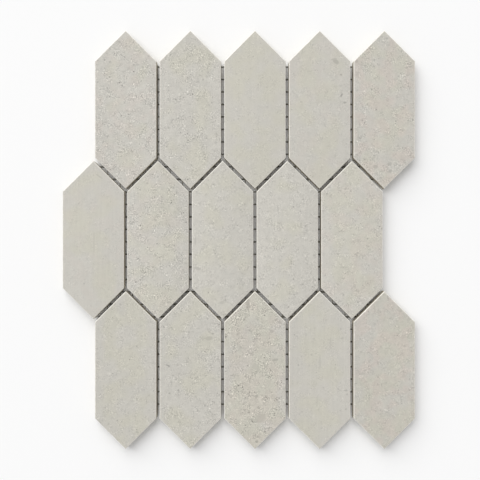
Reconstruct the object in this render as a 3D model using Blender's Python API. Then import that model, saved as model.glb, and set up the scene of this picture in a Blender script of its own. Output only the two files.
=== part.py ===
"""A sheet of mesh-mounted picket mosaic: fifteen porcelain tiles in three rows on a glass-fibre scrim.

Metres, +Z up. The sheet lies on its mesh, face up, with the origin under the middle of its outline.
The tiles' length runs along Y, and the middle row is shifted half a pitch towards -X.
"""

import math

import bmesh
import bpy

# The tile: an elongated hexagon with a point at each end
TILE_WIDTH = 0.0484
SIDE_LENGTH = 0.0762
POINT_HEIGHT = 0.0242
TILE_THICKNESS = 0.009
ARRIS = 0.0007
ARRIS_STEPS = 2

# The grooves pressed into the tile's back, along its length, which key it to the mortar
KEY_PITCH = 0.011
KEY_WIDTH = 0.006
KEY_DEPTH = 0.0006
KEY_DRAFT = 0.0005
KEY_LEAST_LAND = 0.003

# The sheet: rows of tiles with one joint width all round each tile
ROW_NAMES = ("top", "middle", "bottom")
TILES_A_ROW = 5
JOINT = 0.0026
GLUE_LINE = 0.0003

# The scrim: wefts run across the sheet, finer warps run along it, and all end at its cut edges
MESH_PITCH = 0.010
MESH_THICKNESS = 0.0005
WEFT_WIDTH = 0.0012
WARP_WIDTH = 0.0006
MESH_SETBACK = 0.001
FIRST_WEFT_IN = 0.0014
FIRST_WARP_IN = 0.0075
MESH_SPLIT_GAP = 0.0003

# What follows from those sizes
TILE_LENGTH = SIDE_LENGTH + 2 * POINT_HEIGHT
COLUMN_PITCH = TILE_WIDTH + JOINT
POINT_SLANT = math.hypot(TILE_WIDTH / 2, POINT_HEIGHT)
ROW_PITCH = (
    SIDE_LENGTH
    + POINT_HEIGHT
    + JOINT * (POINT_SLANT - POINT_HEIGHT / 2) / (TILE_WIDTH / 2)
)
ROW_SHIFT = COLUMN_PITCH / 2
TILE_BACK_Z = MESH_THICKNESS + GLUE_LINE
SHOULDER_Y = (len(ROW_NAMES) - 1) / 2 * ROW_PITCH + SIDE_LENGTH / 2
COVERED_X = ((TILES_A_ROW - 1) * COLUMN_PITCH + TILE_WIDTH - ROW_SHIFT) / 2
CUT_Y = SHOULDER_Y - MESH_SETBACK
CUT_X = COVERED_X - MESH_SETBACK

PORCELAIN = {"name": "matte_porcelain", "colour": (0.578, 0.565, 0.510), "roughness": 0.62}
SCRIM = {"name": "coated_glass_fibre", "colour": (0.085, 0.088, 0.086), "roughness": 0.75}


def clear_scene():
    for obj in list(bpy.data.objects):
        bpy.data.objects.remove(obj, do_unlink=True)


def material(finish):
    """A Principled material with one plain colour."""
    made = bpy.data.materials.new(finish["name"])
    made.use_nodes = True
    shader = made.node_tree.nodes["Principled BSDF"]
    shader.inputs["Base Color"].default_value = (*finish["colour"], 1.0)
    shader.inputs["Roughness"].default_value = finish["roughness"]
    shader.inputs["Metallic"].default_value = 0.0
    return made


def add_object(name, mesh, at=(0.0, 0.0, 0.0)):
    obj = bpy.data.objects.new(name, mesh)
    obj.location = at
    bpy.context.scene.collection.objects.link(obj)
    return obj


def to_mesh(bm, name):
    bmesh.ops.recalc_face_normals(bm, faces=bm.faces)
    mesh = bpy.data.meshes.new(name)
    bm.to_mesh(mesh)
    bm.free()
    return mesh


def picket_outline():
    """The hexagon's corners, anticlockwise from the top point."""
    x = TILE_WIDTH / 2
    y = SIDE_LENGTH / 2
    tip = TILE_LENGTH / 2
    return [(0, tip), (-x, y), (-x, -y), (0, -tip), (x, -y), (x, y)]


def tile_blank():
    """The cut tile without its grooves: the outline raised to its thickness, its face edges eased."""
    bm = bmesh.new()
    back = bm.faces.new([bm.verts.new((x, y, 0.0)) for x, y in picket_outline()])
    raised = bmesh.ops.extrude_face_region(bm, geom=[back])["geom"]
    lifted = [v for v in raised if isinstance(v, bmesh.types.BMVert)]
    bmesh.ops.translate(bm, verts=lifted, vec=(0.0, 0.0, TILE_THICKNESS))
    face_edges = [e for e in bm.edges if all(v.co.z > TILE_THICKNESS / 2 for v in e.verts)]
    bmesh.ops.bevel(
        bm,
        geom=face_edges,
        offset=ARRIS,
        segments=ARRIS_STEPS,
        profile=0.5,
        affect="EDGES",
    )
    return to_mesh(bm, "tile_blank")


def key_places():
    """The middles of the grooves across the tile, with a land left at each edge."""
    room = TILE_WIDTH - 2 * KEY_LEAST_LAND - KEY_WIDTH
    count = max(0, math.floor(room / KEY_PITCH)) + 1
    return [(i - (count - 1) / 2) * KEY_PITCH for i in range(count)]


def key_cutter():
    """One tapering bar for each groove, longer than the tile, sunk below its back."""
    bm = bmesh.new()
    reach = TILE_LENGTH / 2 + KEY_WIDTH
    mouth = KEY_WIDTH / 2
    floor = mouth - KEY_DRAFT
    below = mouth + KEY_DRAFT
    section = [(-below, -KEY_DEPTH), (below, -KEY_DEPTH), (floor, KEY_DEPTH), (-floor, KEY_DEPTH)]
    for x in key_places():
        end = bm.faces.new([bm.verts.new((x + dx, -reach, z)) for dx, z in section])
        drawn = bmesh.ops.extrude_face_region(bm, geom=[end])["geom"]
        moved = [v for v in drawn if isinstance(v, bmesh.types.BMVert)]
        bmesh.ops.translate(bm, verts=moved, vec=(0.0, 2 * reach, 0.0))
    return to_mesh(bm, "key_cutter")


def keyed_tile_mesh(finish):
    """The finished tile's mesh: the blank with its grooves cut by a Boolean, shared by all the tiles."""
    blank = add_object("blank", tile_blank())
    cutter = add_object("cutter", key_cutter())
    cutter.hide_render = True
    cutter.display_type = "WIRE"
    cut = blank.modifiers.new("key", "BOOLEAN")
    cut.operation = "DIFFERENCE"
    cut.solver = "EXACT"
    cut.object = cutter
    seen = bpy.context.evaluated_depsgraph_get()
    mesh = bpy.data.meshes.new_from_object(blank.evaluated_get(seen))
    mesh.name = "picket_tile"
    mesh.materials.clear()
    mesh.materials.append(finish)
    for used in (blank, cutter):
        bpy.data.objects.remove(used, do_unlink=True)
    return mesh


def row_shift(row):
    """Every second row is half a pitch to the left of the others, evenly about the middle."""
    return ROW_SHIFT / 2 if row % 2 == 0 else -ROW_SHIFT / 2


def place_tiles(mesh):
    middle_row = (len(ROW_NAMES) - 1) / 2
    for row, name in enumerate(ROW_NAMES):
        y = (middle_row - row) * ROW_PITCH
        for i in range(TILES_A_ROW):
            x = (i - (TILES_A_ROW - 1) / 2) * COLUMN_PITCH + row_shift(row)
            add_object(f"picket_{name}_{i + 1}", mesh, (x, y, TILE_BACK_Z))


def strand_places(cut, first_in):
    """The strands' middles, in order, from a cut edge at -cut to one at +cut, the first a little way in."""
    room = 2 * cut - first_in - WEFT_WIDTH
    return [first_in - cut + i * MESH_PITCH for i in range(math.floor(room / MESH_PITCH) + 1)]


def strand_lines(places, width, first, last):
    """The lines across a set of strands, from first to last, and which gaps between them are strand."""
    lines = [first]
    strand = []
    for middle in places:
        lines += [middle - width / 2, middle + width / 2]
        strand += [False, True]
    return lines + [last], strand + [False]


def scrim_mesh(name, warps, wefts, low_y, high_y):
    """A flat scrim, its strands fused where they cross: a plate of cells with the openings left out."""
    xs, is_warp = strand_lines(warps, WARP_WIDTH, -CUT_X, CUT_X)
    ys, is_weft = strand_lines(wefts, WEFT_WIDTH, low_y, high_y)
    bm = bmesh.new()
    corners = {}

    def corner(i, j):
        if (i, j) not in corners:
            corners[i, j] = bm.verts.new((xs[i], ys[j], 0.0))
        return corners[i, j]

    for i, warp in enumerate(is_warp):
        for j, weft in enumerate(is_weft):
            if warp or weft:
                around = (corner(i, j), corner(i + 1, j), corner(i + 1, j + 1), corner(i, j + 1))
                bm.faces.new(around)
    raised = bmesh.ops.extrude_face_region(bm, geom=list(bm.faces))["geom"]
    lifted = [v for v in raised if isinstance(v, bmesh.types.BMVert)]
    bmesh.ops.translate(bm, verts=lifted, vec=(0.0, 0.0, MESH_THICKNESS))
    return to_mesh(bm, name)


def place_scrim(finish):
    """The backing's two halves, which meet at a line between two wefts near the middle of the sheet.

    The wefts are set out from the top edge, so their places are those of strand_places turned over.
    """
    warps = strand_places(CUT_X, FIRST_WARP_IN)
    wefts = [-y for y in reversed(strand_places(CUT_Y, FIRST_WEFT_IN))]
    half = len(wefts) // 2
    split = (wefts[half - 1] + wefts[half]) / 2
    halves = (
        ("mesh_backing_upper", wefts[half:], split + MESH_SPLIT_GAP / 2, CUT_Y),
        ("mesh_backing_lower", wefts[:half], -CUT_Y, split - MESH_SPLIT_GAP / 2),
    )
    for name, own, low_y, high_y in halves:
        mesh = scrim_mesh(name, warps, own, low_y, high_y)
        mesh.materials.append(finish)
        add_object(name, mesh)


def main():
    clear_scene()
    place_tiles(keyed_tile_mesh(material(PORCELAIN)))
    place_scrim(material(SCRIM))


main()
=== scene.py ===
# %% [markdown]
# # A sheet of mesh-mounted picket mosaic
#
# Fifteen matte porcelain tiles, each an elongated hexagon with square points, lie face up on a dark
# glass-fibre scrim. The imported model already holds every size: the tiles' outlines, their keyed backs and the
# strands of the scrim. This lesson dresses that model. It makes each tile again as one closed surface with
# ground edges, weaves the scrim from yarns, adds the glue between the two, and gives each a finish worked out
# by nodes.
#
# Everything is in metres, in the imported model's own frame. The model is loaded first, so that each later cell
# can measure it. Nothing drawn here may reach outside it.

# %% Load the imported model
import math
from collections import namedtuple

import bpy
import numpy as np
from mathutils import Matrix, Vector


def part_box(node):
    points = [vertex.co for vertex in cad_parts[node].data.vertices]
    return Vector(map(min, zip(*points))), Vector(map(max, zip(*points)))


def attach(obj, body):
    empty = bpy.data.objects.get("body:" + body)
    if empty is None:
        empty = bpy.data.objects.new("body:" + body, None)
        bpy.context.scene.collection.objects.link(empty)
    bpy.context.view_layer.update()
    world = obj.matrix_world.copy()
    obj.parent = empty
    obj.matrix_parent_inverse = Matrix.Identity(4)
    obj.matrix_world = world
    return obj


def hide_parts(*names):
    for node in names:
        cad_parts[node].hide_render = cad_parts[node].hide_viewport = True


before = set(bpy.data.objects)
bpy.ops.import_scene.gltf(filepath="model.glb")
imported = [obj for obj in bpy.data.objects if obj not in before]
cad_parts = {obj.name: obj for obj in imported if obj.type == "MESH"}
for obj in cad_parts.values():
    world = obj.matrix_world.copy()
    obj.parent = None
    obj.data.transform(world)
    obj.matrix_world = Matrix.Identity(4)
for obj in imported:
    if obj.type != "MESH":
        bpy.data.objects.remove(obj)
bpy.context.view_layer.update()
MM = 0.001
TILE_NODES = sorted(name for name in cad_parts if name.startswith("picket_"))
SCRIM_NODES = sorted(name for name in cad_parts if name.startswith("mesh_backing_"))
print("tiles:", len(TILE_NODES), "scrim halves:", len(SCRIM_NODES))

# %% [markdown]
# ## Measuring the tile
#
# A designer would rather ask the model than type its sizes again. The corners of one tile's solid give its
# width, its length and the height of its shoulders, and the corners just above its back give the grooves that
# key it to the mortar. Those are shallow, so a corner between the back and twice the groove's depth belongs
# to one. Every tile has the same shape, so one tile is measured for all.

# %% Read the tile's sizes from its solid
SAME = 0.01 * MM


def corners_of(node):
    """All the corners of a node's solid, as an array of points."""
    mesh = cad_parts[node].data
    flat = np.empty(len(mesh.vertices) * 3)
    mesh.vertices.foreach_get("co", flat)
    return flat.reshape(-1, 3)


def distinct(values):
    """The different values among many, in order, where those within a hundredth of a millimetre are one."""
    values = np.sort(values)
    first = np.concatenate([[True], np.diff(values) > SAME])
    return values[first]


def measure_tile(node):
    """The sizes of a tile: its outline, the heights of back and face, its eased edge and its grooves."""
    points = corners_of(node)
    low, high = points.min(0), points.max(0)
    middle = (low + high) / 2
    width, length = (high - low)[:2]
    on_side = points[points[:, 0] > high[0] - SAME]
    side = 2 * np.abs(on_side[:, 1] - middle[1]).max()
    levels = distinct(points[:, 2])
    depth = levels[1] - levels[0]
    at_floor = np.abs(points[:, 2] - levels[1]) < SAME
    floors = distinct(points[at_floor, 0] - middle[0])
    at_back = np.abs(points[:, 2] - levels[0]) < SAME
    mouths = distinct(points[at_back, 0] - middle[0])[1:-1]
    mouths = mouths[np.abs(mouths) > 10 * SAME]  # without the tile's two points, on the middle line
    return {
        "width": width,
        "length": length,
        "side": side,
        "back": low[2],
        "face": high[2],
        "arris": high[2] - levels[2],
        "key_depth": depth,
        "key_floors": floors.reshape(-1, 2),
        "key_mouths": mouths.reshape(-1, 2),
    }


TILE = measure_tile(TILE_NODES[0])
for name, value in TILE.items():
    print(name, np.round(np.asarray(value) / MM, 3).tolist(), "mm")


# %% [markdown]
# ## The tile's outline as a formula
#
# The tile could be an extruded polygon with a Bevel modifier. A formula is used instead, because the ground
# edge of a real tile wanders and has small nicks, and a formula lets the outline move inwards by a different
# amount at each place. It needs one function: how far the outline reaches along the tile at a given place
# across it. Every point of the tile's face, back and rim is then a pair of shares, one across the tile and
# one along it, both from -1 to 1.

# %% The outline, moved inwards by an inset
SLOPE = (TILE["length"] - TILE["side"]) / TILE["width"]
SLANT = math.hypot(1, SLOPE)


def reach(across, inset):
    """How far the outline runs from the middle along the tile, at a place across it.

    The tip stands half the length away. The slanted side falls from it by the slope times the distance from
    the middle line, and an inset lowers it by the inset times the slant."""
    return TILE["length"] / 2 - inset * SLANT - SLOPE * np.abs(across)


def on_outline(u, s, inset):
    """The place of two shares: u times the half width, and s times the reach there."""
    x = (TILE["width"] / 2 - inset) * u
    return x, s * reach(x, inset)


tip = on_outline(0.0, 1.0, 0.0)
shoulder = on_outline(1.0, 1.0, 0.0)
print("tip", np.round(np.array(tip) / MM, 2), "shoulder", np.round(np.array(shoulder) / MM, 2), "mm")

# %% [markdown]
# ## Lines for the grid
#
# The face and the back are grids of the same lines, so that their rims match and one ring of wall can join
# them. Even steps of about a millimetre are fine enough for the wavy edge. The grooves of the back need lines
# exactly at their edges, or they would look torn, so those lines are added and even ones close by dropped.

# %% Lines across and along the tile
STEP = 1.1 * MM
BACK_BREAK = 0.25 * MM
GROOVE_CLEAR = 0.3 * MM


def lines_across():
    """Shares across the tile: even steps, with the edges of the grooves in place of the steps near them."""
    half = TILE["width"] / 2 - BACK_BREAK
    edges = np.concatenate([TILE["key_floors"].ravel(), TILE["key_mouths"].ravel()]) / half
    even = np.linspace(-1, 1, 2 * round(half / STEP) + 1)
    clear = np.abs(even[:, None] - edges).min(1) > GROOVE_CLEAR / half
    return np.sort(np.concatenate([even[clear], edges]))


def lines_along():
    """Shares along the tile: even steps from end to end."""
    return np.linspace(-1, 1, 2 * round(TILE["length"] / 2 / STEP) + 1)


def rim_of(grid):
    """The values round the edge of a grid, anticlockwise from its first corner, each corner once."""
    return np.concatenate([grid[0, :-1], grid[:-1, -1], grid[-1, :0:-1], grid[:0:-1, 0]])


U, S = np.meshgrid(lines_across(), lines_along())
RIM_U, RIM_S = rim_of(U), rim_of(S)
print("grid:", U.shape[1], "lines across by", U.shape[0], "along, with", len(RIM_U), "points on the rim")

# %% [markdown]
# ## Uneven edges
#
# The tiles were cut from a larger fired tile and their top edges eased on a grinding belt. The grinder leaves
# an edge whose width wanders by a twentieth, with a few small nicks where the glassy body flaked. Both are
# functions of the distance round the rim. The wander is a sum of sine waves with whole numbers of turns, so
# that it closes on itself. A nick is a bell curve.

# %% Wander and nicks round the rim
EDGE_WANDER = 0.05
WANDER_WAVES = 14
WANDER_MM = (4, 25)
NICKS = 9
NICK_WIDE_MM = (0.8, 1.6)
NICK_DEEP_MM = (0.1, 0.45)


def rim_distance():
    """The distance round the rim to each of its points, and the whole way round."""
    x, y = on_outline(RIM_U, RIM_S, 0.0)
    steps = np.hypot(np.roll(x, -1) - x, np.roll(y, -1) - y)
    return np.concatenate([[0.0], np.cumsum(steps)[:-1]]), steps.sum()


RIM_AT, RIM_ROUND = rim_distance()


def edge_wander(rng):
    """Sine waves of random lengths, added up, with a spread of about one."""
    shortest, longest = WANDER_MM
    turns = rng.integers(RIM_ROUND / (longest * MM), RIM_ROUND / (shortest * MM), WANDER_WAVES)
    phase = rng.uniform(0, 2 * np.pi, WANDER_WAVES)
    waves = np.sin(2 * np.pi * turns * RIM_AT[:, None] / RIM_ROUND + phase)
    return waves.sum(1) / math.sqrt(WANDER_WAVES / 2)


def edge_nicks(rng):
    """Bell curves of random width and depth at random places on the rim, added up."""
    at = rng.uniform(0, RIM_ROUND, NICKS)
    width = rng.uniform(*NICK_WIDE_MM, NICKS) * MM
    depth = rng.uniform(*NICK_DEEP_MM, NICKS) * MM
    away = np.abs(RIM_AT[:, None] - at)
    away = np.minimum(away, RIM_ROUND - away)
    return (depth * np.exp(-((away / (0.5 * width)) ** 2))).sum(1)


print("round the rim:", round(RIM_ROUND / MM, 1), "mm")

# %% [markdown]
# ## The tile's surface
#
# The face isn't a plane. Large porcelain tiles leave the kiln with a very slight wave, a few hundredths of a
# millimetre high, and it shades a matte face softly from one place to the next. It is cut down from the
# face's height, never added to it, and fades out towards the edges, where the grinder has levelled it.
#
# The back has the grooves that the press gave it. Their walls lean, and a smooth step from mouth to floor
# gives them the soft corners of pressed clay.
#
# The rings that join the two are one that holds the face flat, the ground edge, the straight cut wall and a
# small break at the back. The ground edge is a narrow flat at 45 degrees whose two corners are softened. Each
# ring is the outline at an inset, so the whole tile is one closed surface. It comes with a number for each
# stretch, because face, ground edge, sawn wall and pressed back are four different finishes of one body.

# %% The face's wave and the back's grooves
FACE_WAVE = 0.035 * MM
FACE_WAVES = 6
FACE_WAVE_MM = (18, 60)
FACE_LEVEL = 8 * MM


def smooth_step(share):
    """A climb from 0 to 1 that starts and ends gently: three times the square less twice the cube."""
    return share * share * (3 - 2 * share)


def face_wave(x, y, rng):
    """How far the face dips: sine waves of random lengths and directions, scaled to 0 to 1.

    The dip fades to nothing over the last stretch before the edge."""
    length = rng.uniform(*FACE_WAVE_MM, FACE_WAVES) * MM
    turn = rng.uniform(0, np.pi, FACE_WAVES)
    phase = rng.uniform(0, 2 * np.pi, FACE_WAVES)
    run = x[..., None] * np.cos(turn) + y[..., None] * np.sin(turn)
    wave = np.sin(2 * np.pi * run / length + phase).mean(-1)
    to_side = TILE["width"] / 2 - np.abs(x)
    to_point = (reach(x, 0.0) - np.abs(y)) / SLANT
    return (0.5 + 0.5 * wave) * smooth_step(np.clip(np.minimum(to_side, to_point) / FACE_LEVEL, 0, 1))


def key_rise(x):
    """How far the back lies above its lands: a smooth step from each groove's mouth to its floor."""
    rise = np.zeros_like(x)
    for mouth, floor in zip(TILE["key_mouths"], TILE["key_floors"]):
        draft = floor[0] - mouth[0]
        rise += smooth_step(np.clip(np.minimum(x - mouth[0], mouth[1] - x) / draft, 0, 1))
    return rise * TILE["key_depth"]


print("the back rises by up to", round(key_rise(on_outline(U, S, BACK_BREAK)[0]).max() / MM, 2), "mm")

# %% The rings between face and back
FACE_INSET = 2.4 * MM
HOLD = 0.12 * MM
ARRIS_PROFILE = ((0.68, 0.0), (0.58, 0.03), (0.32, 0.3), (0.05, 0.6), (0.0, 0.72))
NICK_DROP = 0.7


def tile_rings(rng):
    """The rings from the face down to the back, each as x, y and z round the rim."""
    ease = TILE["arris"] * (1 + EDGE_WANDER * edge_wander(rng))
    nick = edge_nicks(rng)
    room = FACE_INSET - 2 * HOLD
    x, y = on_outline(RIM_U, RIM_S, np.minimum(ease + nick, room) + HOLD)
    rings = [(x, y, np.full_like(x, TILE["face"]))]
    for inset, drop in ARRIS_PROFILE:
        x, y = on_outline(RIM_U, RIM_S, np.minimum(ease + nick, room) * inset)
        rings.append((x, y, TILE["face"] - (ease + NICK_DROP * nick) * drop))
    x, y = on_outline(RIM_U, RIM_S, 0.0)
    rings.append((x, y, TILE["back"] + BACK_BREAK + key_rise(x)))
    return rings


print("rings:", len(tile_rings(np.random.default_rng(0))), "of", len(RIM_U), "points")

# %% A tile as one closed surface
FACE, GROUND_EDGE, SAWN_WALL, PRESSED_BACK = range(4)


def grid_faces(grid, up=True):
    """Four-sided faces between the points of a grid, facing up or down."""
    quads = np.stack([grid[:-1, :-1], grid[:-1, 1:], grid[1:, 1:], grid[1:, :-1]], -1).reshape(-1, 4)
    return quads if up else quads[:, ::-1]


def band_faces(upper, lower):
    """Four-sided faces between two rings that run anticlockwise, facing away from the middle."""
    return np.stack([upper, lower, np.roll(lower, -1), np.roll(upper, -1)], -1)


def tile_surface(rng, middle):
    """The points and faces of one tile, and the finish of each face as a number."""
    x, y = on_outline(U, S, FACE_INSET)
    face = np.stack([x, y, TILE["face"] - FACE_WAVE * face_wave(x, y, rng)], -1).reshape(-1, 3)
    rings = [np.stack(ring, -1) for ring in tile_rings(rng)]
    x, y = on_outline(U, S, BACK_BREAK)
    back = np.stack([x, y, TILE["back"] + key_rise(x)], -1).reshape(-1, 3)

    grid = np.arange(U.size).reshape(U.shape)
    ring_at = [len(face) + k * len(RIM_U) + np.arange(len(RIM_U)) for k in range(len(rings))]
    back_grid = grid + len(face) + len(rings) * len(RIM_U)
    loops = [rim_of(grid), *ring_at, rim_of(back_grid)]
    bands = [band_faces(upper, lower) for upper, lower in zip(loops, loops[1:])]
    parts = [grid_faces(grid), *bands, grid_faces(back_grid, up=False)]
    # the face's finish also covers the two bands round it, and the back's covers its break
    finish = [FACE] * 3 + [GROUND_EDGE] * (len(ARRIS_PROFILE) - 1) + [SAWN_WALL] + [PRESSED_BACK] * 2
    points = np.concatenate([face, *rings, back]) + [middle[0], middle[1], 0.0]
    return points, np.concatenate(parts), np.repeat(finish, [len(part) for part in parts])


points, faces, finish = tile_surface(np.random.default_rng(0), (0.0, 0.0))
print("one tile:", len(points), "points,", len(faces), "faces, by finish", np.bincount(finish))

# %% [markdown]
# ## From arrays to an object
#
# from_pydata takes the points and faces. Soft stretches are shaded smooth and real corners stay sharp, by the
# angle between faces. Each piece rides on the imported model's one body, and stands for the node it replaces.

# %% Make the tiles


def add_piece(name, points, faces, sharp=35.0):
    """A mesh object at the origin, its place in its points, smooth except across sharp angles."""
    mesh = bpy.data.meshes.new(name)
    mesh.from_pydata(points.tolist(), [], faces if isinstance(faces, list) else faces.tolist())
    mesh.shade_smooth()
    mesh.set_sharp_from_angle(angle=math.radians(sharp))
    piece = bpy.data.objects.new(name, mesh)
    bpy.context.scene.collection.objects.link(piece)
    return piece


def make_tile(node, seed):
    """The tile that stands for a node, at the node's place."""
    low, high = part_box(node)
    points, faces, finish = tile_surface(np.random.default_rng(seed), (low + high) / 2)
    piece = add_piece(node.replace("picket", "tile"), points, faces)
    piece.data.polygons.foreach_set("material_index", finish.astype(np.int32))
    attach(piece, "root")
    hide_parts(node)
    return piece


tiles = {node: make_tile(node, seed) for seed, node in enumerate(TILE_NODES)}
print("tiles made:", len(tiles))

# %% [markdown]
# ## Measuring the scrim
#
# The solid scrim is a flat plate of crossing bars. The different x values of its corners are the edges of its
# warps, which run along the sheet, and the different y values are the edges of its wefts. The first and last
# are its cut edges.

# %% Read the strands' places from the solids


def strand_middles(node, axis):
    """The middles of the strands across an axis, and the cut edges on both sides of them."""
    edges = distinct(corners_of(node)[:, axis])
    middles = edges[1:-1].reshape(-1, 2).mean(1)
    return middles, edges[0], edges[-1]


for node in SCRIM_NODES:
    warps = strand_middles(node, 0)[0]
    wefts = strand_middles(node, 1)[0]
    print(node, "warps", len(warps), "wefts", len(wefts), "pitch", round(np.diff(wefts).mean() / MM, 2), "mm")

# %% [markdown]
# ## Weaving the yarns
#
# A scrim for mosaics is a leno weave. Each weft is one flat ribbon of glass filaments. Each warp is a pair of
# finer yarns that swap sides between wefts, one always over the wefts and the other always under, so that
# they grip every weft and the mesh can't slip. The whole is then dipped in a dark alkali-proof coating.
#
# A yarn is a flat oval carried along a line. All the yarns of one kind are worked out at once, as an array of
# lines by points by corners of the oval.

# %% Ovals carried along lines
OVAL_CORNERS = 8


def ring_quads(index):
    """Four-sided faces between the rings of many tubes, from the numbers of shapes by rings by corners."""
    after = np.roll(index, -1, axis=2)
    quads = np.stack([index[:, :-1], index[:, 1:], after[:, 1:], after[:, :-1]], -1)
    return quads.reshape(-1, 4).tolist()


def yarns(lines, half_width, half_height, corners=OVAL_CORNERS):
    """Closed tubes along lines, an array of lines by points by xyz: points, faces and lengthwise places.

    At each point the oval lies square to the line: its width points along the line's direction crossed with
    straight up, and its height along that crossed with the line."""
    ahead = np.gradient(lines, axis=1)
    ahead /= np.linalg.norm(ahead, axis=2, keepdims=True)
    side = np.cross(ahead, [0.0, 0.0, 1.0])
    side /= np.linalg.norm(side, axis=2, keepdims=True)
    up = np.cross(side, ahead)
    angle = np.arange(corners) * 2 * np.pi / corners
    wide = (half_width * np.cos(angle))[None, None, :, None] * side[:, :, None]
    high = (half_height * np.sin(angle))[None, None, :, None] * up[:, :, None]
    points = lines[:, :, None] + wide + high
    index = np.arange(points[..., 0].size).reshape(points.shape[:3])
    faces = ring_quads(index) + index[:, 0].tolist() + index[:, -1, ::-1].tolist()
    run = np.linalg.norm(np.diff(lines, axis=1), axis=2).cumsum(1)
    run = np.concatenate([np.zeros((len(lines), 1)), run], 1)
    place = np.stack(np.broadcast_arrays(run[:, :, None], angle / (2 * np.pi)), -1)
    return points.reshape(-1, 3), faces, place.reshape(-1, 2)


print("corners of an oval:", OVAL_CORNERS)

# %% The lines of wefts and warps
MID_HEIGHT = 0.26 * MM
WEFT_STEP = 2.5 * MM
WEFT_DRIFT = 0.09 * MM
DRIFT_SLOW = 46 * MM
DRIFT_QUICK = 17 * MM
WARP_STEP = 1.25 * MM
WARP_SWING = 0.19 * MM
WARP_APART = 0.12 * MM
WARP_RISE = 0.045 * MM


def weft_lines(places, low, high, rng):
    """Nearly straight lines along X, each wandering sideways by a slow sine times a quick cosine."""
    x = np.append(np.arange(low, high, WEFT_STEP), high)
    phase = rng.uniform(0, 2 * np.pi, (len(places), 1))
    slow = np.sin(2 * np.pi * x / DRIFT_SLOW + phase)
    quick = np.cos(2 * np.pi * x / DRIFT_QUICK - 2 * phase)
    y = places[:, None] + WEFT_DRIFT * slow * quick
    return np.stack(np.broadcast_arrays(x, y, MID_HEIGHT), -1)


def warp_lines(places, low, high, first_weft, pitch, over):
    """Lines along Y that swing from side to side once for each weft, riding over or under it.

    The swing is a cosine of half a turn a pitch. The height is a cosine of a whole turn a pitch, furthest
    from the middle at the wefts."""
    y = np.append(np.arange(low, high, WARP_STEP), high)
    turns = (y - first_weft) / pitch
    hand = 1.0 if over else -1.0
    x = places[:, None] + hand * WARP_SWING * np.cos(np.pi * turns)
    z = MID_HEIGHT + hand * (WARP_APART + WARP_RISE * np.cos(2 * np.pi * turns))
    return np.stack(np.broadcast_arrays(x, y, z), -1)


print("a weft wanders by", WEFT_DRIFT / MM, "mm and a warp swings by", WARP_SWING / MM, "mm, to each side")

# %% Weave the two halves
WEFT_HALF = (0.58 * MM, 0.11 * MM)
WARP_HALF = (0.15 * MM, 0.085 * MM)
WARP_CORNERS = 6
WARP_MAP = 2.0
SCRIM_SEED = 40


def joined(sets):
    """Several surfaces as one: their points, their faces with new numbers, and their lengthwise places."""
    points, faces, places = [], [], []
    for more_points, more_faces, more_places in sets:
        shift = sum(map(len, points))
        faces += [[corner + shift for corner in face] for face in more_faces]
        points.append(more_points)
        places.append(more_places)
    return np.concatenate(points), faces, np.concatenate(places)


def map_along_yarn(mesh, places):
    """Gives each corner of a face the lengthwise place of its point, as a map for the fibre's material."""
    corner_points = np.empty(len(mesh.loops), np.int32)
    mesh.loops.foreach_get("vertex_index", corner_points)
    mesh.uv_layers.new(name="along_yarn").data.foreach_set("uv", places[corner_points].ravel())


def make_scrim(node, seed):
    """The woven half that stands for a node: its wefts, and the upper and the lower yarn of each warp."""
    rng = np.random.default_rng(seed)
    warps, left, right = strand_middles(node, 0)
    wefts, bottom, top = strand_middles(node, 1)
    pitch = np.diff(wefts).mean()
    sets = [yarns(weft_lines(wefts, left, right, rng), *WEFT_HALF)]
    for over in (True, False):
        lines = warp_lines(warps, bottom, top, wefts[0], pitch, over)
        warp_points, warp_faces, warp_places = yarns(lines, *WARP_HALF, corners=WARP_CORNERS)
        sets.append((warp_points, warp_faces, warp_places + [0.0, WARP_MAP]))
    points, faces, places = joined(sets)
    piece = add_piece(node.replace("mesh_backing", "scrim"), points, faces, sharp=80.0)
    map_along_yarn(piece.data, places)
    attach(piece, "root")
    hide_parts(node)
    return piece


scrims = [make_scrim(node, SCRIM_SEED + i) for i, node in enumerate(SCRIM_NODES)]
for piece in scrims:
    print(piece.name, len(piece.data.polygons), "faces")

# %% [markdown]
# ## Spots of glue
#
# The tiles lie face down in a mould when the mesh is laid on their backs, and small spots of white glue hold
# it there. Each spot has flowed round a crossing of the yarns and dried as a low, uneven dome. The glue could
# be one sheet pushed up by a texture, but separate domes leave the keyed back open between them, as the real
# ones do, and the mortar needs it so.
#
# A dome is a set of rings at growing shares of a wavy radius, turned back along the tile's back to close it.
# All the domes are one array, spots by rings by angles.

# %% Find the crossings to glue
SPOT_MARGIN = 3.6 * MM
TILE_MIDDLES = np.array([np.add(*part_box(node))[:2] / 2 for node in TILE_NODES])


def crossings():
    """Every second crossing of a warp and a weft, in the order of a chessboard."""
    warps = strand_middles(SCRIM_NODES[0], 0)[0]
    wefts = np.sort(np.concatenate([strand_middles(node, 1)[0] for node in SCRIM_NODES]))
    i, j = np.meshgrid(np.arange(len(warps)), np.arange(len(wefts)), indexing="ij")
    chosen = (i + j) % 2 == 0
    return np.stack([warps[i[chosen]], wefts[j[chosen]]], -1)


def under_tiles(places):
    """The places that lie under a tile, a margin inside its edge, and the middle of that tile."""
    away = places[:, None] - TILE_MIDDLES
    inside_x = np.abs(away[..., 0]) < TILE["width"] / 2 - SPOT_MARGIN
    inside_y = np.abs(away[..., 1]) < reach(away[..., 0], SPOT_MARGIN)
    which, tile = np.nonzero(inside_x & inside_y)
    return places[which], TILE_MIDDLES[tile]


spot_places, spot_tiles = under_tiles(crossings())
print("spots of glue:", len(spot_places))

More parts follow.
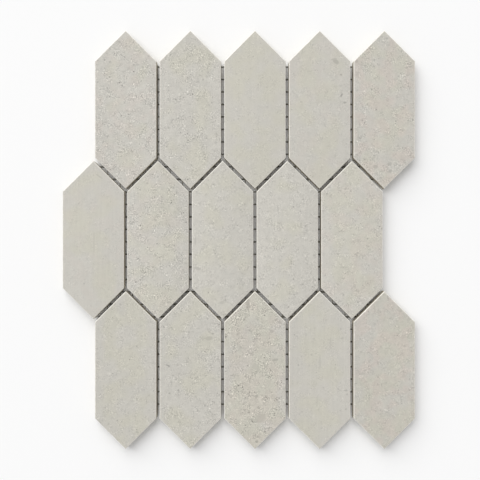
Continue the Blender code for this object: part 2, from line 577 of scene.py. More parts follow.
# %% Pour the domes
SPOT_CORNERS = 12
SPOT_RADIUS_MM = (2.3, 3.3)
SPOT_LOBES = ((0.10, 2), (0.07, 3))
SPOT_LOW = 0.12 * MM
SPOT_LOW_SPREAD = (0.7, 1.3)
DOME_SHARES = (0.3, 0.62, 0.86, 1.0)
RETURN_SHARES = (0.85, 0.4)
GLUE_SEED = 7


def glue_surface(places, tiles, rng):
    """Domes that hang from the tile's back round each place, as an array of spots by rings by angles.

    A ring's radius is its share of the spot's, times one plus two small sine waves round the spot. Its
    height climbs from the lowest point to the tile's back with the third power of its share. The last two
    rings return along the back and follow its grooves."""
    count = len(places)
    angle = np.arange(SPOT_CORNERS) * 2 * np.pi / SPOT_CORNERS
    radius = rng.uniform(*SPOT_RADIUS_MM, (count, 1)) * MM
    # each lobe starts anywhere in a whole turn, which is nearly 6.3
    lobes = sum(size * np.sin(turns * angle + rng.uniform(0, 6.3, (count, 1))) for size, turns in SPOT_LOBES)
    outline = radius * (1 + lobes)
    share = np.array(DOME_SHARES + RETURN_SHARES)[None, :, None]
    x = places[:, 0, None, None] + share * outline[:, None] * np.cos(angle)
    y = places[:, 1, None, None] + share * outline[:, None] * np.sin(angle)
    back = TILE["back"] + key_rise(x - tiles[:, 0, None, None])
    low = SPOT_LOW * rng.uniform(*SPOT_LOW_SPREAD, (count, 1, 1))
    z = low + (back - low) * share**3
    on_back = len(DOME_SHARES)
    z[:, on_back:] = back[:, on_back:]
    index = np.arange(x.size).reshape(x.shape)
    faces = ring_quads(index) + index[:, 0, ::-1].tolist() + index[:, -1].tolist()
    return np.stack([x, y, z], -1).reshape(-1, 3), faces


points, faces = glue_surface(spot_places, spot_tiles, np.random.default_rng(GLUE_SEED))
glue = add_piece("glue_spots", points, faces, sharp=60.0)
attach(glue, "root")
print("glue:", len(faces), "faces")

# %% [markdown]
# ## Colours and nodes
#
# Hex colours are what a paint chart or a picker gives, and they are in sRGB, while shaders work with linear
# light. One function turns one into the other. One more adds a node with its settings and feeds its inputs,
# so that a material reads like a list of what it is made of. What an input is fed can be a plain value, a
# socket, or a whole node, which stands for the first of its outputs that is in use.

# %% Colours and the one function that adds a node


def linear(code):
    """An sRGB hex colour as linear red, green, blue and an alpha of one."""
    values = np.array([int(code[i : i + 2], 16) for i in (1, 3, 5)]) / 255
    light = np.where(values <= 0.04045, values / 12.92, ((values + 0.055) / 1.055) ** 2.4)
    return (*light.tolist(), 1.0)


def feed(tree, node, inputs):
    """Links inputs to nodes or sockets, or sets them to plain values: by name, or in order from the first."""
    for name, value in inputs.items() if isinstance(inputs, dict) else enumerate(inputs):
        if isinstance(value, bpy.types.Node):
            value = next(socket for socket in value.outputs if socket.enabled)
        if isinstance(value, bpy.types.NodeSocket):
            tree.links.new(value, node.inputs[name])
        else:
            node.inputs[name].default_value = value


def add(tree, kind, inputs, **settings):
    """A new node of a kind, with its settings made and its inputs fed."""
    made = tree.nodes.new("ShaderNode" + kind)
    for name, value in settings.items():
        setattr(made, name, value)
    feed(tree, made, inputs)
    return made


def start_material(name, plain):
    """A new material, its node tree, its shader with plain values set, and its coordinates in millimetres."""
    material = bpy.data.materials.new(name)
    material.use_nodes = True
    tree = material.node_tree
    shader = tree.nodes["Principled BSDF"]
    feed(tree, shader, plain)
    place = add(tree, "TexCoord", {}).outputs["Object"]
    in_mm = add(tree, "VectorMath", {0: place, "Scale": 1 / MM}, operation="SCALE")
    return material, tree, shader, in_mm


print("#808080 is", round(linear("#808080")[0], 3), "in linear light")

# %% [markdown]
# ## Patterns by real size
#
# The coordinates that reach a texture are in millimetres here, so a noise with a scale of one over its size
# has lumps of that size. Noise runs from 0 to 1 with most of it near 0.5, so a range round the middle is
# stretched to make patches of it. A finish is a sum of such patterns, each times its own strength, and its
# colour is one colour with others laid over it.

# %% Patches by size, sums of patterns and layers of colour
SMOOTH = {"interpolation_type": "SMOOTHSTEP"}


def of_size(place, size, detail=1.0, roughness=0.5):
    """What a noise is fed so that its lumps are a size in millimetres."""
    return {"Vector": place, "Scale": 1 / size, "Detail": detail, "Roughness": roughness}


def patches(tree, place, size, detail, low, high, roughness=0.5):
    """Patches of a size with soft edges: 0 where the noise is at low or beyond it, and 1 at high."""
    lumps = add(tree, "TexNoise", of_size(place, size, detail, roughness))
    return add(tree, "MapRange", (lumps, low, high), **SMOOTH)


def summed(tree, total, *parts):
    """A total plus each pattern times its strength."""
    for pattern, strength in parts:
        total = add(tree, "Math", (pattern, strength, total), operation="MULTIPLY_ADD")
    return total


def layered(tree, base, *layers):
    """A colour with others laid over it in turn, each where its pattern is high, by its strength at most."""
    colour = linear(base)
    for pattern, strength, over in layers:
        share = add(tree, "Math", (pattern, strength), operation="MULTIPLY")
        colour = add(tree, "Mix", {0: share, 6: colour, 7: linear(over)}, data_type="RGBA")
    return colour


print("lumps of 2 mm need a scale of", of_size(None, 2.0)["Scale"])

# %% [markdown]
# ## The tile's face: unglazed porcelain with a stone look
#
# The maker blends spray-dried clay powders of several greys, presses and fires them, and leaves the face
# unglazed. Up close it is a fine speckle of paler and darker grains under a millimetre wide, gathered in
# patches. Wider clouds drift between a yellowish, a lilac and a pinkish grey, and some tiles were cut where
# the powder had been drawn out in streaks along them. The face is matte, and only its grain breaks the light.
#
# All fifteen were cut from different places of the stock, so one recipe makes fifteen materials. Each tile has
# its own shift of the coordinates, its own strengths of grain, of streaks and of the warm tint, and its own
# lean towards lilac. Its drift is how much it lightens with each centimetre towards the right: that is painted
# shade, the fall of the light across its face painted into its colour. Its tone is how much lighter it is than
# the others.

# %% What differs from tile to tile
Stock = namedtuple("Stock", "grain streak warm lilac drift tone")
# drift is painted shade: how the light falls across each tile, painted as a lean in its brightness
STOCK = {
    "top_1": Stock(1.42, 0.2, 0.30, 0.12, 0.002, 0.000),
    "top_2": Stock(1.45, 0.2, 0.05, 0.06, -0.003, 0.000),
    "top_3": Stock(0.55, 0.5, 0.05, -0.06, -0.006, -0.010),
    "top_4": Stock(0.62, 0.3, 0.15, 0.00, -0.003, -0.020),
    "top_5": Stock(1.22, 0.3, 0.52, 0.00, -0.001, -0.030),
    "middle_1": Stock(0.42, 1.2, 0.15, 0.06, -0.007, 0.000),
    "middle_2": Stock(1.53, 0.2, 0.20, 0.00, -0.014, 0.000),
    "middle_3": Stock(0.88, 0.6, 0.05, 0.06, -0.020, 0.000),
    "middle_4": Stock(0.95, 0.5, 0.05, 0.12, -0.014, 0.010),
    "middle_5": Stock(0.98, 0.7, 0.28, 0.04, -0.010, 0.000),
    "bottom_1": Stock(0.84, 0.3, 0.05, 0.00, 0.002, -0.020),
    "bottom_2": Stock(1.22, 0.2, 0.05, 0.00, 0.000, -0.010),
    "bottom_3": Stock(1.88, 0.2, 0.30, -0.14, 0.001, -0.020),
    "bottom_4": Stock(0.54, 1.2, 0.05, 0.00, 0.003, -0.010),
    "bottom_5": Stock(0.86, 0.6, 0.52, -0.06, 0.002, -0.042),
}
print("tiles described:", len(STOCK))

# %% [markdown]
# ## Marks that are there once
#
# Besides the even speckle, nearly every tile has marks of its own: a lump of darker clay, a smear, a row of
# pits. Such a mark can't come from a pattern, so each is listed, by how many millimetres it lies to the right
# of its tile's middle and above it. It is an ellipse with a ragged edge. It has a length and a width, the
# degrees that it is turned, and its tone, which is how much lighter it is than the tile.

# %% The marks by tile
Mark = namedtuple("Mark", "x y length width turn tone")
MARK_ROWS = {
    "top_1": [(6.7, 35.3, 1.6, 1.3, 0, -0.32)],
    "top_2": [(-8.1, 37.6, 2.4, 1.0, -40, -0.26), (10.0, 23.5, 1.5, 1.2, 0, -0.32),
              (6.6, 21.6, 1.3, 1.1, 0, -0.26)],
    "top_4": [(12.8, 37.8, 5.2, 3.4, -35, -0.26), (11.2, 39.6, 5.0, 1.4, 12, -0.20),
              (16.8, 27.4, 1.8, 1.3, 0, -0.34), (17.2, 11.2, 3.4, 1.4, 62, -0.46),
              (19.9, 5.4, 2.3, 1.6, 0, -0.38), (16.6, 18.6, 2.4, 1.6, 0, -0.14)],
    "top_5": [(1.9, 56.1, 2.2, 1.6, 0, -0.25), (-21.8, 38.0, 2.0, 3.0, 0, -0.23),
              (-19.5, -22.5, 3.4, 1.2, -45, -0.29), (-18.2, -22.0, 1.3, 2.0, 0, -0.23),
              (-8.8, -28.5, 3.4, 1.2, -30, -0.17), (-7.1, -45.1, 3.8, 3.0, 0, -0.22),
              (4.0, -42.9, 3.4, 2.4, 0, -0.23), (4.6, -48.5, 3.2, 2.2, 30, -0.26),
              (-2.4, -2.6, 2.6, 1.6, 20, -0.19)],
    "middle_1": [(4.6, 50.2, 7.0, 1.2, -35, -0.14), (0.6, -3.7, 20.0, 1.1, 90, -0.09),
                 (-7.2, -34.5, 1.6, 1.2, 0, -0.23)],
    "middle_2": [(-8.5, 44.6, 1.4, 1.8, 0, -0.23), (13.7, 19.2, 3.4, 1.2, 90, -0.10)],
    "middle_3": [(-7.0, -8.0, 2.0, 1.0, -40, -0.22), (-21.6, -1.1, 6.0, 1.6, 90, -0.12),
                 (-19.8, -22.5, 5.0, 2.6, -20, -0.16), (0.3, 10.0, 3.0, 1.0, -60, -0.14),
                 (-0.6, -49.5, 3.6, 2.4, 0, -0.14), (-5.4, 24.2, 2.0, 2.0, 0, -0.14)],
    "middle_4": [(18.6, -0.6, 2.6, 1.1, 30, -0.25), (-11.3, -35.3, 1.5, 1.3, 0, -0.26)],
    "middle_5": [(-1.2, 44.6, 2.0, 1.3, 0, -0.14), (9.5, -12.5, 2.4, 1.4, 60, -0.13)],
    "bottom_1": [(-4.0, 52.0, 2.0, 1.6, -30, -0.23), (9.0, -18.0, 2.2, 1.2, 0, -0.12)],
    "bottom_2": [(-9.5, -15.8, 1.7, 1.7, 0, -0.38), (-16.4, -18.1, 1.6, 1.4, 0, -0.32),
                 (-17.6, 3.8, 3.6, 1.3, -22, -0.43), (17.8, 28.9, 2.0, 1.4, 0, -0.32),
                 (14.9, 25.2, 5.6, 3.2, 10, -0.19), (-1.0, 30.2, 1.6, 1.4, 0, -0.26),
                 (13.7, 40.6, 1.5, 1.4, 0, -0.26), (9.9, 24.8, 1.8, 1.1, 0, -0.20),
                 (-15.2, -29.5, 1.8, 1.4, 0, -0.23), (5.9, -31.8, 1.5, 1.5, 0, -0.29),
                 (15.7, -32.8, 1.7, 1.4, 0, -0.23), (11.6, -27.4, 1.6, 1.4, 0, -0.23),
                 (-9.7, 4.1, 1.5, 1.3, 0, -0.23), (1.0, -3.4, 3.0, 1.2, 40, -0.14),
                 (-15.0, -9.2, 1.2, 2.8, 15, -0.22), (6.5, 33.0, 2.4, 1.2, 0, -0.14)],
    "bottom_3": [(-5.7, 52.4, 8.0, 2.4, -78, -0.26), (-3.6, 45.8, 7.0, 1.5, -78, 0.14),
                 (15.9, 8.1, 5.0, 2.2, 12, -0.26), (1.4, -20.4, 2.6, 2.4, 0, -0.30),
                 (3.9, -37.7, 9.5, 6.5, 25, -0.16), (17.5, -10.0, 2.2, 2.0, 0, -0.26),
                 (1.4, -56.2, 2.4, 2.0, 0, -0.35), (13.1, 30.6, 3.2, 2.4, 0, -0.22),
                 (19.1, 37.8, 2.6, 2.0, 0, -0.23), (0.8, 2.4, 7.0, 4.5, -30, -0.12),
                 (-9.2, -26.8, 2.0, 1.6, 0, -0.22), (4.4, -24.5, 6.0, 2.0, -55, 0.10)],
    "bottom_4": [(-16.8, 4.1, 1.5, 1.6, 0, -0.26), (8.5, 21.5, 9.0, 1.4, 90, -0.12),
                 (0.2, 6.6, 12.0, 1.3, 90, -0.12), (20.6, -15.8, 2.6, 1.4, 0, -0.23),
                 (21.6, -18.9, 1.6, 1.6, 0, -0.20), (14.7, -14.6, 2.2, 1.2, -50, -0.17),
                 (20.6, -30.7, 1.6, 1.4, 0, -0.22), (17.7, 25.2, 2.6, 1.4, 20, -0.17),
                 (12.0, 1.4, 3.4, 1.2, 90, -0.10), (-2.0, -24.0, 9.0, 1.2, 90, -0.09)],
    "bottom_5": [(-17.0, -2.6, 4.4, 1.8, 15, -0.16), (11.5, -8.8, 1.6, 1.4, 0, -0.20),
                 (1.0, 2.4, 1.6, 1.3, 0, -0.14), (12.6, 46.6, 3.0, 2.4, 0, -0.16)],
}
MARKS = {tile: [Mark(*row) for row in rows] for tile, rows in MARK_ROWS.items()}
print("marks:", sum(map(len, MARKS.values())))

# %% [markdown]
# ## What a face is made of
#
# Each pattern has a size in millimetres and a strength, which is how much it adds to the shade where it is
# one. The range of a noise says where in it a patch starts and where it is whole, and the radius of a speck
# is a share of its cell. The finest grains of the clay are smaller than a pixel of the picture, so the grain
# is drawn at about a millimetre, as fine as it can show there.

# %% The tints and the sizes of a face's patterns
YELLOWISH = "#C0BDB1"
LILAC_GREY = "#C0BDB5"
PINKISH = "#C4BAB1"
GRAIN_MM = (0.92, 1.08, 0.92)
CURL_MM = 2.6
SPECK_MM = 1.9
LUMP_MM = 7.0
CLUSTER_MM = 6.0
MOTTLE_MM = 4.5
CLOUD_MM = 20.0
TINT_MM = 18.0
BLUSH_MM = 11.0
STREAK_MM = (1.5, 34.0, 34.0)
BESIDE_MM = (12.0, 22.0)
RAGGED_MM = 1.3
RAGGED_LUMP_MM = 10 / 9
CM = 10.0
print("patterns from", min(GRAIN_MM), "to", max(STREAK_MM), "mm")

# %% How strong they are
PLAIN_SHADE = 0.98
MOTTLE_LEAST = 0.05
MOTTLE_BY_GRAIN = 0.13
CLOUD_STRENGTH = 0.06
STREAK_STRENGTH = 0.10
GRAIN_STRENGTH = 0.18
LUMP_STRENGTH = 0.09
LUMP_RADIUS = 0.24
SPECK_STRENGTH = 1.2
SPECK_RADIUS = 0.36
CURL_STRENGTH = -0.35
CURL_RANGE = (0.05, 0.015)
CLUSTER_RANGE = (0.40, 0.62)
CLUSTER_GAIN = (0.35, 1.55)
BESIDE_TINT = 0.15
TINT_RANGE = (0.38, 0.66)
BLUSH_RANGE = (0.44, 0.64)
strengths = [MOTTLE_LEAST + MOTTLE_BY_GRAIN * own.grain for own in STOCK.values()]
print("mottle from", round(min(strengths), 2), "to", round(max(strengths), 2))

# %% Specks and marks
SPECK_DARKEST = -1.2
SPECK_PALEST = 0.9
SPECK_BARE = 0.35
MARK_EDGE = (1.2, 0.8)
MARK_COVER = 0.85
MARK_DEEP_MM = 1000.0


def specks(tree, place, size, radius):
    """Round specks in the middles of random cells, with a random tone for each cell.

    A speck is one at the middle of its cell and nought beyond its radius, which is a share of the cell. Its
    tone runs from the darkest to the palest, and a share of the cells stays bare."""
    cell = add(tree, "TexVoronoi", {"Vector": place, "Scale": 1 / size}).outputs
    near = add(tree, "MapRange", (cell["Distance"], radius, 0.5 * radius), **SMOOTH)
    tone = add(tree, "SeparateColor", (cell["Color"],)).outputs[0]
    dark = add(tree, "MapRange", (tone, 0.5 - 0.5 * SPECK_BARE, 0.0, 0.0, SPECK_DARKEST))
    pale = add(tree, "MapRange", (tone, 0.5 + 0.5 * SPECK_BARE, 1.0, 0.0, SPECK_PALEST))
    tone = add(tree, "Math", (dark, pale), operation="ADD")
    return add(tree, "Math", (near, tone), operation="MULTIPLY")


def mark_on(tree, shade, place, mark):
    """The shade with one mark on it, which has its own even tone where its middle is near for its size."""
    spot = {
        "Vector": place,
        "Location": (mark.x, mark.y, 0.0),
        "Rotation": (0.0, 0.0, math.radians(mark.turn)),
        "Scale": (mark.length / 2, mark.width / 2, MARK_DEEP_MM),
    }
    in_mark = add(tree, "Mapping", spot, vector_type="TEXTURE")
    away = add(tree, "VectorMath", (in_mark,), operation="LENGTH")
    share = add(tree, "MapRange", (away, *MARK_EDGE, 0.0, MARK_COVER), **SMOOTH)
    return add(tree, "Mix", {0: share, 2: shade, 3: 1.0 + mark.tone}, data_type="FLOAT")


print("a mark covers", MARK_COVER, "of what is under it")

# %% Coordinates and grain


def face_places(tree, in_mm, middle, shift):
    """Three coordinates on a tile: from its middle, in the stock, and from its middle with ragged edges.

    A noise moves the ragged ones to either side by up to half of RAGGED_MM."""
    on_tile = add(tree, "VectorMath", (in_mm, middle), operation="SUBTRACT")
    place = add(tree, "VectorMath", (on_tile, shift), operation="ADD")
    wander = add(tree, "TexNoise", of_size(place, RAGGED_LUMP_MM, 2.0)).outputs["Color"]
    ragged = add(tree, "VectorMath", (wander, (RAGGED_MM, RAGGED_MM, 0.0), on_tile), operation="MULTIPLY_ADD")
    half = (RAGGED_MM / 2, RAGGED_MM / 2, 0.0)
    return on_tile, place, add(tree, "VectorMath", (ragged, half), operation="SUBTRACT")


def grain_of(tree, place, ragged_place):
    """The speckle: fine grains, small specks and thin dark curls, stronger and weaker in clusters.

    A curl is the thin line along which a noise is close to 0.5."""
    stretch = add(tree, "Mapping", {"Vector": place, "Scale": tuple(1 / size for size in GRAIN_MM)})
    fine = add(tree, "TexNoise", of_size(stretch, 1.0, 1.5, 0.6))
    fine = add(tree, "MapRange", (fine, 0.2, 0.8, -1.0, 1.0))
    curls = add(tree, "TexNoise", of_size(ragged_place, CURL_MM))
    curls = add(tree, "Math", (curls, 0.5), operation="SUBTRACT")
    curls = add(tree, "Math", (curls,), operation="ABSOLUTE")
    curls = add(tree, "MapRange", (curls, *CURL_RANGE), **SMOOTH)
    small = specks(tree, ragged_place, SPECK_MM, SPECK_RADIUS)
    speckle = summed(tree, fine, (small, SPECK_STRENGTH), (curls, CURL_STRENGTH))
    clusters = add(tree, "TexNoise", of_size(place, CLUSTER_MM, 2.0))
    clusters = add(tree, "MapRange", (clusters, *CLUSTER_RANGE, *CLUSTER_GAIN), **SMOOTH)
    return add(tree, "Math", (speckle, clusters), operation="MULTIPLY")


print("the edges of specks and marks wander by up to", RAGGED_MM / 2, "mm to each side")

# %% The recipe for a face


def porcelain_face(name, middle, shift, marks, own):
    """Matte through-coloured porcelain: a grey in clouds of three tints, times a shade of about one."""
    material, tree, shader, in_mm = start_material(name, {"Roughness": 0.62, "IOR": 1.52})
    on_tile, place, ragged = face_places(tree, in_mm, middle, shift)
    ragged_place = add(tree, "VectorMath", (ragged, shift), operation="ADD")
    across = add(tree, "SeparateXYZ", (on_tile,)).outputs[0]

    speckle = grain_of(tree, place, ragged_place)
    lumps = specks(tree, ragged_place, LUMP_MM, LUMP_RADIUS)
    mottle = add(tree, "TexNoise", of_size(place, MOTTLE_MM, 2.0))
    clouds = add(tree, "TexNoise", of_size(place, CLOUD_MM, 2.0))
    stretch = add(tree, "Mapping", {"Vector": place, "Scale": tuple(1 / size for size in STREAK_MM)})
    drawn = add(tree, "TexNoise", of_size(stretch, 1.0, 2.0))

    # mottle and streaks are 0.5 on the whole, so half of their strengths comes off the start of the sum
    uneven = MOTTLE_LEAST + MOTTLE_BY_GRAIN * own.grain
    streaks = STREAK_STRENGTH * own.streak
    start = PLAIN_SHADE + own.tone - 0.5 * (uneven + streaks)
    # the last part, across times drift, is painted shade: the tile lightens or darkens towards the right as the
    # light falls across it
    shade = summed(tree, start, (mottle, uneven), (clouds, CLOUD_STRENGTH), (drawn, streaks),
                   (speckle, GRAIN_STRENGTH * own.grain), (lumps, LUMP_STRENGTH * own.grain),
                   (across, own.drift / CM))
    for mark in marks:
        shade = mark_on(tree, shade, ragged, mark)

    beside = add(tree, "Math", (across,), operation="ABSOLUTE")
    beside = add(tree, "MapRange", (beside, *BESIDE_MM), **SMOOTH)
    tint = summed(tree, add(tree, "TexNoise", of_size(place, TINT_MM)), (beside, BESIDE_TINT))
    tint = add(tree, "MapRange", (tint, TINT_RANGE[0] - own.lilac, TINT_RANGE[1] - own.lilac), **SMOOTH)
    blush = patches(tree, place, BLUSH_MM, 1.0, *BLUSH_RANGE)
    colour = layered(tree, YELLOWISH, (tint, 1.0, LILAC_GREY), (blush, own.warm, PINKISH))
    shaded = add(tree, "VectorMath", {0: colour, "Scale": shade}, operation="SCALE")

    bump = add(tree, "Bump", {"Strength": 0.25, "Distance": 0.05 * MM, "Height": speckle})
    rough = summed(tree, 0.58, (mottle, 0.10))
    feed(tree, shader, {"Base Color": shaded, "Roughness": rough, "Normal": bump})
    return material


print("a face without patterns has", PLAIN_SHADE, "of its tint")

# %% A face for each tile
STOCK_SEED = 300
STOCK_MM = 900


def shift_for(tile):
    """A random place in the stock for each tile, in millimetres, the same on each run."""
    rng = np.random.default_rng(STOCK_SEED + sorted(STOCK).index(tile))
    return tuple(rng.uniform(-STOCK_MM, STOCK_MM, 3).round(1).tolist())


def middle_of(tile):
    """The middle of a tile's face, in millimetres."""
    low, high = np.array(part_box("picket_" + tile)) / MM
    x, y, _ = (low + high) / 2
    return (float(x), float(y), float(high[2]))


faces_of = {}
for tile, own in STOCK.items():
    name = "matte_porcelain_" + tile
    faces_of[tile] = porcelain_face(name, middle_of(tile), shift_for(tile), MARKS.get(tile, []), own)
print("materials for faces:", len(faces_of))

# %% [markdown]
# ## Edges, walls and backs
#
# Grinding opens the body along the top edge and leaves it a little smoother than the face and paler. Its pale
# colour is partly the ground body and partly painted highlight: it stands for the thin light line round each
# tile where the edges catch the lamp. The walls show the marks of the diamond saw, fine lines that run along
# the cut at slightly different heights. The back is as it was pressed, with a coarse skin and the remains of
# the white wash that keeps a tile from sticking to the rollers of the kiln.

# %% Ground edge, sawn wall and pressed back
# the edge's pale colour is partly the ground body and partly painted highlight
EDGE_PALE_HIGHLIGHT = "#EFECE5"
BODY_GREY = "#C6C0B2"
BODY_DARK = "#AEA898"
WASH_WHITE = "#E6E3DA"
WEAR_MM = 6.0
NICK_MM = 0.9
SAW_LINE_MM = (26.0, 26.0, 0.45)
GRIT_MM = 0.8
PRESS_MM = 1.6
WASH_MM = 9.0


def ground_edge_and_highlight():
    """Ground porcelain, pale partly as painted highlight, with faint cloudy wear and small darker nicks."""
    material, tree, shader, place = start_material("ground_porcelain_edge", {"Roughness": 0.45, "IOR": 1.52})
    wear = patches(tree, place, WEAR_MM, 3.0, 0.3, 0.7)
    nicks = patches(tree, place, NICK_MM, 1.0, 0.36, 0.28)
    colour = layered(tree, EDGE_PALE_HIGHLIGHT, (wear, 0.3, BODY_GREY), (nicks, 0.6, BODY_DARK))
    feed(tree, shader, {"Base Color": colour})
    return material


def sawn_wall():
    """Wet-sawn porcelain body: a pale grey with saw lines along the cut, each a small step in the surface."""
    material, tree, shader, place = start_material("wet_sawn_porcelain", {"Roughness": 0.6, "IOR": 1.52})
    along = add(tree, "Mapping", {"Vector": place, "Scale": tuple(1 / size for size in SAW_LINE_MM)})
    lines = add(tree, "TexNoise", of_size(along, 1.0, 2.0))
    grit = add(tree, "TexNoise", of_size(place, GRIT_MM, 2.0))
    share = add(tree, "MapRange", (summed(tree, 0.0, (lines, 0.65), (grit, 0.35)), 0.38, 0.62), **SMOOTH)
    bump = add(tree, "Bump", {"Strength": 0.4, "Distance": 0.05 * MM, "Height": lines})
    feed(tree, shader, {"Base Color": layered(tree, BODY_GREY, (share, 0.55, BODY_DARK)), "Normal": bump})
    return material


def pressed_back():
    """Pressed and fired porcelain back: a coarse skin with white kiln wash left in worn patches."""
    material, tree, shader, place = start_material("pressed_porcelain_back", {"Roughness": 0.75, "IOR": 1.52})
    skin = add(tree, "TexNoise", of_size(place, PRESS_MM, 3.0, 0.6))
    thin = add(tree, "MapRange", (skin, 0.35, 0.65), **SMOOTH)
    wash = patches(tree, place, WASH_MM, 4.0, 0.44, 0.60, roughness=0.6)
    colour = layered(tree, BODY_GREY, (thin, 0.5, BODY_DARK), (wash, 0.7, WASH_WHITE))
    bump = add(tree, "Bump", {"Strength": 0.5, "Distance": 0.12 * MM, "Height": skin})
    feed(tree, shader, {"Base Color": colour, "Normal": bump})
    return material


SHARED = (ground_edge_and_highlight(), sawn_wall(), pressed_back())
for node, tile in tiles.items():
    for material in (faces_of[node.replace("picket_", "")], *SHARED):
        tile.data.materials.append(material)
print("finishes on a tile:", [material.name for material in tile.data.materials])

# %% [markdown]
# ## The coated yarn and the glue
#
# The yarns are glass filaments dipped in a dark, alkali-proof resin. The resin leaves them matte with a dull
# shine along the filaments, and it thins where the filaments fan out, so that grey glass shows through. The
# fine warps take up less of it and stay paler. The pattern follows the yarn, so it reads the map that was
# made with the surface: its first coordinate is metres along the yarn and its second goes once round it, from
# 0 to 1. A warp has 2 added to the second, and that tells it from a weft.
#
# The glue is white when wet and dries to a milky, slightly glossy film, clearer where it is thin.

# %% Coated glass fibre and dried glue
YARN_DARK = "#68675F"
YARN_GREY = "#8E8C82"
YARN_FINE = "#A19E93"
GLUE_MILKY = "#E3DFD2"
GLUE_CLEAR = "#C9C4B6"
FILAMENT_LONG = 14 * MM
FILAMENTS_ROUND = 11.0
BARE_MM = 3.5
CLEAR_MM = 3.0
WRINKLE_MM = 1.2


def coated_fibre():
    """Resin-coated glass fibre: dark grey with paler filaments and thin spots of coating, and pale warps."""
    plain = {"Roughness": 0.55, "IOR": 1.55}
    material, tree, shader, in_mm = start_material("resin_coated_glass_fibre", plain)
    along = add(tree, "UVMap", {}, uv_map="along_yarn")
    stretch = add(tree, "Mapping", {"Vector": along, "Scale": (1 / FILAMENT_LONG, FILAMENTS_ROUND, 1.0)})
    filaments = add(tree, "TexNoise", of_size(stretch, 1.0, 2.0))
    pale = add(tree, "MapRange", (filaments, 0.4, 0.62), **SMOOTH)
    bare = patches(tree, in_mm, BARE_MM, 2.0, 0.48, 0.66)
    share = summed(tree, 0.0, (pale, 0.35), (bare, 0.45))
    round_yarn = add(tree, "SeparateXYZ", (along,)).outputs[1]
    is_warp = add(tree, "MapRange", (round_yarn, WARP_MAP - 0.6, WARP_MAP - 0.4), **SMOOTH)
    colour = layered(tree, YARN_DARK, (share, 1.0, YARN_GREY), (is_warp, 1.0, YARN_FINE))
    bump = add(tree, "Bump", {"Strength": 0.6, "Distance": 0.05 * MM, "Height": filaments})
    feed(tree, shader, {"Base Color": colour, "Normal": bump})
    return material


def dried_glue():
    """Dried white glue: milky, clearer in thin patches, with a soft gloss and a slightly wrinkled skin."""
    material, tree, shader, in_mm = start_material("dried_white_glue", {"Roughness": 0.34, "IOR": 1.47})
    clear = patches(tree, in_mm, CLEAR_MM, 2.0, 0.35, 0.7)
    wrinkles = add(tree, "TexNoise", of_size(in_mm, WRINKLE_MM, 2.0))
    bump = add(tree, "Bump", {"Strength": 0.35, "Distance": 0.1 * MM, "Height": wrinkles})
    feed(tree, shader, {"Base Color": layered(tree, GLUE_MILKY, (clear, 1.0, GLUE_CLEAR)), "Normal": bump})
    return material


fibre = coated_fibre()
for piece in scrims:
    piece.data.materials.append(fibre)
glue.data.materials.append(dried_glue())
print("finishes:", fibre.name, "and", glue.data.materials[0].name)

# %% [markdown]
# ## The floor and the light
#
# The sheet lies on a plain white board. A board is a flat thing, so one square of mesh does. It is matte, and
# it isn't a part of the object, so it is staged. The sky behind it is white where the camera or a reflection
# sees it, and about half as bright where it lights the scene.

# %% A white board under an even sky
BOARD_WHITE = "#F6F6F6"
BOARD_HALF = 4.0
SKY_STRENGTH = 0.532


def make_board():
    """A square of matte white board under the sheet, which is staged."""
    corners = np.array([[-1, -1, 0], [1, -1, 0], [1, 1, 0], [-1, 1, 0]]) * BOARD_HALF
    board = add_piece("white_board", corners, [[0, 1, 2, 3]])
    plain = {"Base Color": linear(BOARD_WHITE), "Roughness": 0.9, "Specular IOR Level": 0.1}
    board.data.materials.append(start_material("matte_white_board", plain)[0])


def make_sky():
    """An even sky, brighter where it is seen than where it lights."""
    world = bpy.data.worlds.new("studio_sky")
    bpy.context.scene.world = world
    world.use_nodes = True
    tree = world.node_tree
    ray = add(tree, "LightPath", {}).outputs
    seen = ray["Is Camera Ray"]
    for other in ("Is Glossy Ray", "Is Transmission Ray"):
        seen = add(tree, "Math", (seen, ray[other]), operation="MAXIMUM")
    strength = add(tree, "MapRange", (seen, 0.0, 1.0, SKY_STRENGTH, 1.0))
    feed(tree, tree.nodes["Background"], {"Color": (1.0, 1.0, 1.0, 1.0), "Strength": strength})


make_board()
make_sky()
print("board:", 2 * BOARD_HALF, "m wide, and the sky lights with a strength of", SKY_STRENGTH)

# %% [markdown]
# ## The key light
#
# A relief as low as this one shows best in soft light from one side, such as daylight through a big window.
# It comes here from the upper left. The lamp is about as wide as it is far away, so the edges that face it
# are bright, those that face away stay soft, and the shadows fade within the sheet's own thickness. It is
# 20 m away, so that both ends of the sheet are equally bright.
#
# A lamp of P watts adds P m / pi^2 to what a white floor gives back, where m is the mean over the lamp of
# cos(a) cos(b) / d^2: d is the distance to a place on the lamp, and a and b are the angles that the line to
# it makes with the floor's and the lamp's normals. So the power follows from the share of light wanted.

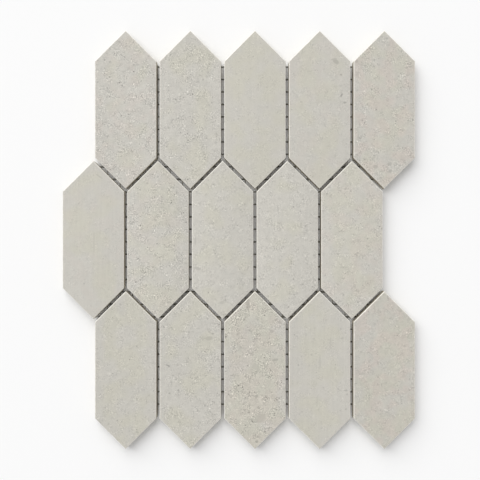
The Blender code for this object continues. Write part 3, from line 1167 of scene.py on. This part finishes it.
# %% The lamp's place, size and power
KEY_DISTANCE = 20.0
KEY_LEAN = math.radians(47.4)
KEY_TURN = math.radians(121.5)
KEY_SIZE = (23.8, 22.2)
KEY_SHARE = 0.503
KEY_STEPS = 41


def key_axes():
    """The directions towards the lamp, down along it and across it."""
    ahead = np.array([math.cos(KEY_TURN), math.sin(KEY_TURN), 0.0])
    toward = math.sin(KEY_LEAN) * ahead + [0.0, 0.0, math.cos(KEY_LEAN)]
    across = np.array([-ahead[1], ahead[0], 0.0])
    return toward, np.cross(across, toward), across


def key_power(share):
    """The watts that give the floor at the origin a share of full light, by a sum over the lamp's face."""
    toward, down, across = key_axes()
    u, v = np.meshgrid(*[np.linspace(-0.5, 0.5, KEY_STEPS)] * 2)
    far = u[..., None] * KEY_SIZE[0] * down + v[..., None] * KEY_SIZE[1] * across
    points = KEY_DISTANCE * toward + far
    squared = (points**2).sum(-1)
    facing = np.clip(points[..., 2], 0, None) * KEY_DISTANCE / squared**2
    return share * math.pi**2 / facing.mean()


def make_key():
    """The lamp, turned so that it faces the middle of the sheet."""
    lamp = bpy.data.lights.new("key", "AREA")
    lamp.shape = "RECTANGLE"
    lamp.size, lamp.size_y = KEY_SIZE
    lamp.energy = key_power(KEY_SHARE)
    key = bpy.data.objects.new("key", lamp)
    key.location = KEY_DISTANCE * key_axes()[0]
    key.rotation_euler = (0.0, KEY_LEAN, KEY_TURN)
    bpy.context.scene.collection.objects.link(key)
    return key


key = make_key()
print("key:", np.round(key.location[:], 2), "m,", round(key.data.energy), "W")

# %% [markdown]
# ## The camera
#
# The picture looks straight down on the sheet, from within a millimetre of its middle. A camera that isn't
# turned looks down its own -Z axis with +Y up, which is already the view wanted here, so only its place and
# its lens are set.

# %% Straight above the sheet
CAMERA_AT = (0.00095, -0.0001, 0.6062)
LENS_MM = 56.76

scene = bpy.context.scene
lens = bpy.data.cameras.new("camera")
lens.lens = LENS_MM
camera = bpy.data.objects.new("camera", lens)
camera.location = CAMERA_AT
scene.collection.objects.link(camera)
scene.camera = camera
scene.view_settings.view_transform = "Standard"
print("lens", LENS_MM, "mm, height", CAMERA_AT[2], "m")
